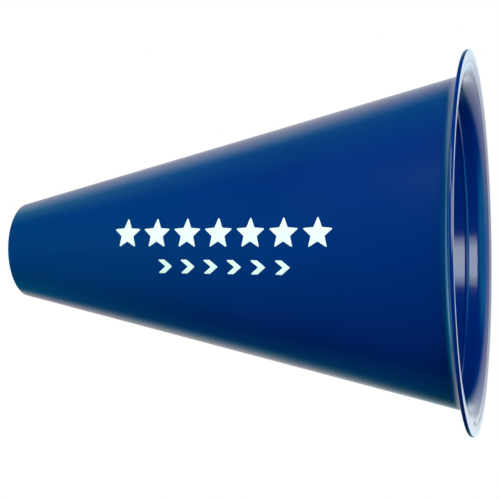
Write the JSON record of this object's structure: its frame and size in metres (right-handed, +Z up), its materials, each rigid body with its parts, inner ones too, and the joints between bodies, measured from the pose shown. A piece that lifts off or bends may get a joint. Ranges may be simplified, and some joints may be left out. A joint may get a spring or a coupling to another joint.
{
  "type": "cheer megaphone",
  "caption": "Short moulded speaking horn: a tapered cone open at both ends, with a flared, flanged bell and printed motifs on one side.",
  "frame": {"origin": "centre of the bell mouth, in the plane of the flange's front face", "axes": "+Z up the horn's axis to the mouth end; the print faces -Y"},
  "size_m": [0.1588, 0.1588, 0.2032],
  "materials": {
    "horn_plastic": "glossy deep blue, coloured through",
    "print_ink": "white pad-print ink"
  },
  "bodies": {
    "root": {"horn": "horn_plastic", "print_star_1": "print_ink", "print_star_2": "print_ink", "print_star_3": "print_ink", "print_star_4": "print_ink", "print_star_5": "print_ink", "print_star_6": "print_ink", "print_star_7": "print_ink", "print_chevron_1": "print_ink", "print_chevron_2": "print_ink", "print_chevron_3": "print_ink", "print_chevron_4": "print_ink", "print_chevron_5": "print_ink", "print_chevron_6": "print_ink"}
  },
  "joints": []
}
